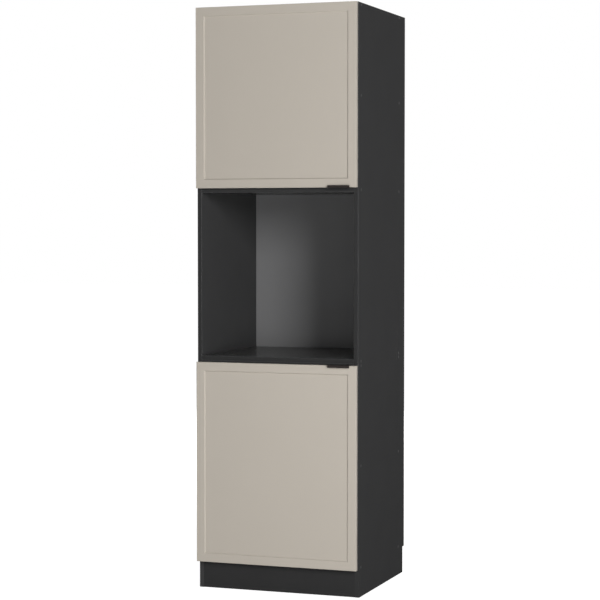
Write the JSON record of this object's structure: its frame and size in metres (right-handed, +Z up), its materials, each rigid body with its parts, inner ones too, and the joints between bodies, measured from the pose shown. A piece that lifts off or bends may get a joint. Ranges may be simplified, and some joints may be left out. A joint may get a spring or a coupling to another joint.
{
  "type": "oven housing unit",
  "caption": "Tall kitchen unit for a built-in oven: an open niche at mid height between two hinged doors with edge pulls, on a recessed plinth.",
  "frame": {"origin": "on the floor, at the middle of the unit's overall width and depth", "axes": "+X to the right as seen from the front, +Y from the doors to the wall, +Z up"},
  "size_m": [0.6, 0.5826, 2.062],
  "materials": {
    "carcass_board": "dark anthracite melamine on chipboard, fine satin texture",
    "door_board": "greige foil on fibreboard, matt",
    "back_board": "grey lacquered hardboard, smooth",
    "black_metal": "black powder coat, fine grain",
    "steel": "nickel plated steel",
    "cap_plastic": "dark grey moulded plastic",
    "dowel_wood": "plain beech",
    "buffer_rubber": "clear soft elastomer"
  },
  "bodies": {
    "carcass": {"lower_side_left": "carcass_board", "lower_side_right": "carcass_board", "upper_side_left": "carcass_board", "upper_side_right": "carcass_board", "bottom_panel": "carcass_board", "lower_shelf": "carcass_board", "lower_top_panel": "carcass_board", "niche_floor": "carcass_board", "niche_top_panel": "carcass_board", "upper_shelf": "carcass_board", "top_panel": "carcass_board", "plinth_board": "carcass_board", "lower_back_panel": "back_board", "upper_back_panel": "back_board", "panel_screws": "steel", "screw_caps": "cap_plastic", "panel_dowels": "dowel_wood", "connector_sleeves": "steel", "connector_bolts": "steel", "plinth_brackets": "steel", "plinth_bracket_screws": "steel", "wall_angles": "steel", "wall_angle_screws": "steel", "upper_hinge_arms": "steel", "upper_hinge_arm_pins": "steel", "upper_hinge_arm_screws": "steel", "upper_hinge_plates": "steel", "upper_hinge_plate_screws": "steel", "lower_hinge_arms": "steel", "lower_hinge_arm_pins": "steel", "lower_hinge_arm_screws": "steel", "lower_hinge_plates": "steel", "lower_hinge_plate_screws": "steel"},
    "upper_door_leaf": {"upper_door": "door_board", "upper_edge_pull": "black_metal", "upper_pull_screws": "black_metal", "upper_door_buffers": "buffer_rubber", "upper_hinge_cups": "steel", "upper_hinge_cup_screws": "steel", "upper_hinge_cup_pins": "steel"},
    "upper_hinge_lever_pair": {"upper_hinge_levers": "steel", "upper_hinge_elbow_pins": "steel"},
    "upper_hinge_link_pair": {"upper_hinge_links": "steel"},
    "lower_door_leaf": {"lower_door": "door_board", "lower_edge_pull": "black_metal", "lower_pull_screws": "black_metal", "lower_door_buffers": "buffer_rubber", "lower_hinge_cups": "steel", "lower_hinge_cup_screws": "steel", "lower_hinge_cup_pins": "steel"},
    "lower_hinge_lever_pair": {"lower_hinge_levers": "steel", "lower_hinge_elbow_pins": "steel"},
    "lower_hinge_link_pair": {"lower_hinge_links": "steel"}
  },
  "joints": [
    {"name": "upper_door_swing", "type": "hinge", "parent": "carcass", "child": "upper_door_leaf", "pos_m": [-0.293, -0.2747, 1.7435], "axis": [0, 0, -1], "range_deg": [0, 110]},
    {"name": "upper_lever_swing", "type": "hinge", "parent": "carcass", "child": "upper_hinge_lever_pair", "pos_m": [-0.274, -0.2577, 1.7435], "axis": [0, 0, -1], "range_deg": [0, 110]},
    {"name": "upper_link_swing", "type": "hinge", "parent": "upper_hinge_lever_pair", "child": "upper_hinge_link_pair", "pos_m": [-0.255, -0.2523, 1.7435], "axis": [0, 0, -1], "range_deg": [-110, 0]},
    {"name": "lower_door_swing", "type": "hinge", "parent": "carcass", "child": "lower_door_leaf", "pos_m": [-0.293, -0.2747, 0.45375], "axis": [0, 0, -1], "range_deg": [0, 110]},
    {"name": "lower_lever_swing", "type": "hinge", "parent": "carcass", "child": "lower_hinge_lever_pair", "pos_m": [-0.274, -0.2577, 0.45375], "axis": [0, 0, -1], "range_deg": [0, 110]},
    {"name": "lower_link_swing", "type": "hinge", "parent": "lower_hinge_lever_pair", "child": "lower_hinge_link_pair", "pos_m": [-0.255, -0.2523, 0.45375], "axis": [0, 0, -1], "range_deg": [-110, 0]}
  ],
  "couplings": [
    {"joint": "upper_lever_swing", "follows": "upper_door_swing", "ratio": 1},
    {"joint": "upper_link_swing", "follows": "upper_door_swing", "ratio": -1},
    {"joint": "lower_lever_swing", "follows": "lower_door_swing", "ratio": 1},
    {"joint": "lower_link_swing", "follows": "lower_door_swing", "ratio": -1}
  ]
}
